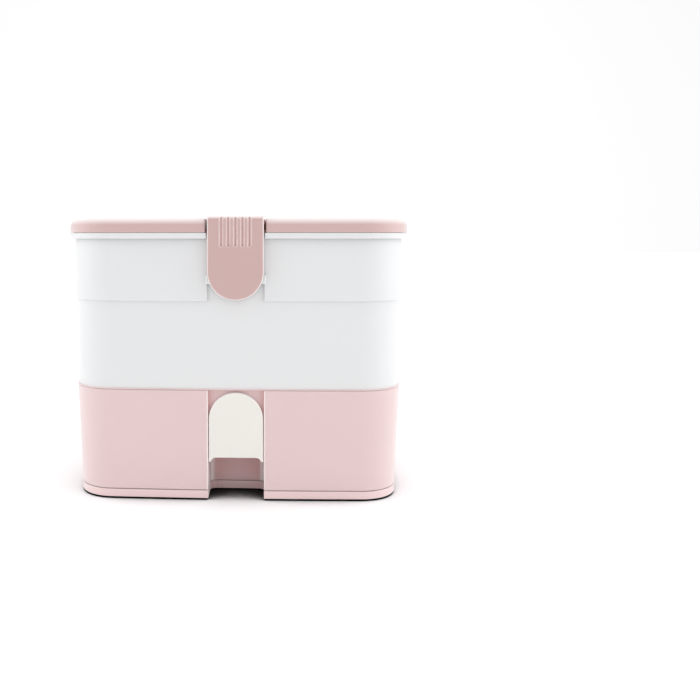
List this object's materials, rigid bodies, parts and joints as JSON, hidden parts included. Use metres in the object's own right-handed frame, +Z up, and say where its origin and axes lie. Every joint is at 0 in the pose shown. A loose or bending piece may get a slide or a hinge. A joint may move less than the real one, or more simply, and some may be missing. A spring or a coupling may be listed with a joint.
{
  "type": "makeup storage case",
  "caption": "Makeup storage case: deep container with hinged lid, folding carry handle and front latch, lift-out tray, and a pull-out drawer tier with a finger alcove.",
  "frame": {"origin": "middle of the outer box at floor level, where the feet stand", "axes": "+Z up, front (latch and drawer) faces -Y, +X to the right seen from the front"},
  "size_m": [0.272, 0.1936, 0.2192],
  "materials": {
    "white_shell": "satin moulded polypropylene, off-white",
    "white_tray": "satin moulded polypropylene, off-white",
    "pink_shell": "fine satin, pale dusty pink",
    "pink_lid": "fine satin, dusty pink",
    "cream_pull": "satin cream white",
    "bright_steel": "bright drawn steel",
    "zinc_steel": "zinc plated",
    "foot_rubber": "soft matt, grey pink"
  },
  "bodies": {
    "case": {"case_body": "white_shell", "inner_tray": "white_tray", "drawer_housing": "pink_shell", "base_plate": "pink_shell", "base_screws": "zinc_steel", "deck_screws": "zinc_steel", "hinge_pin_left": "bright_steel", "hinge_pin_right": "bright_steel", "foot_front_left": "foot_rubber", "foot_front_right": "foot_rubber", "foot_rear_left": "foot_rubber", "foot_rear_right": "foot_rubber"},
    "drawer": {"drawer_front": "pink_shell", "drawer_bin": "white_tray", "drawer_divider": "white_tray", "drawer_front_screws": "zinc_steel", "drawer_pull": "cream_pull", "pull_screws": "zinc_steel"},
    "lid": {"lid_shell": "pink_lid", "latch_pin": "bright_steel"},
    "handle": {"carry_handle": "pink_lid"},
    "latch": {"latch": "pink_lid"}
  },
  "joints": [
    {"name": "drawer_slide", "type": "slide", "parent": "case", "child": "drawer", "axis": [0, -1, 0], "range_m": [0, 0.11]},
    {"name": "lid_hinge", "type": "hinge", "parent": "case", "child": "lid", "pos_m": [0, 0.094, 0.2033], "axis": [-1, 0, 0], "range_deg": [0, 105]},
    {"name": "latch_pivot", "type": "hinge", "parent": "lid", "child": "latch", "pos_m": [0, -0.072, 0.213], "axis": [-1, 0, 0], "range_deg": [0, 100]},
    {"name": "handle_fold", "type": "hinge", "parent": "lid", "child": "handle", "pos_m": [0, 0, 0.2131], "axis": [1, 0, 0], "range_deg": [0, 90]}
  ]
}
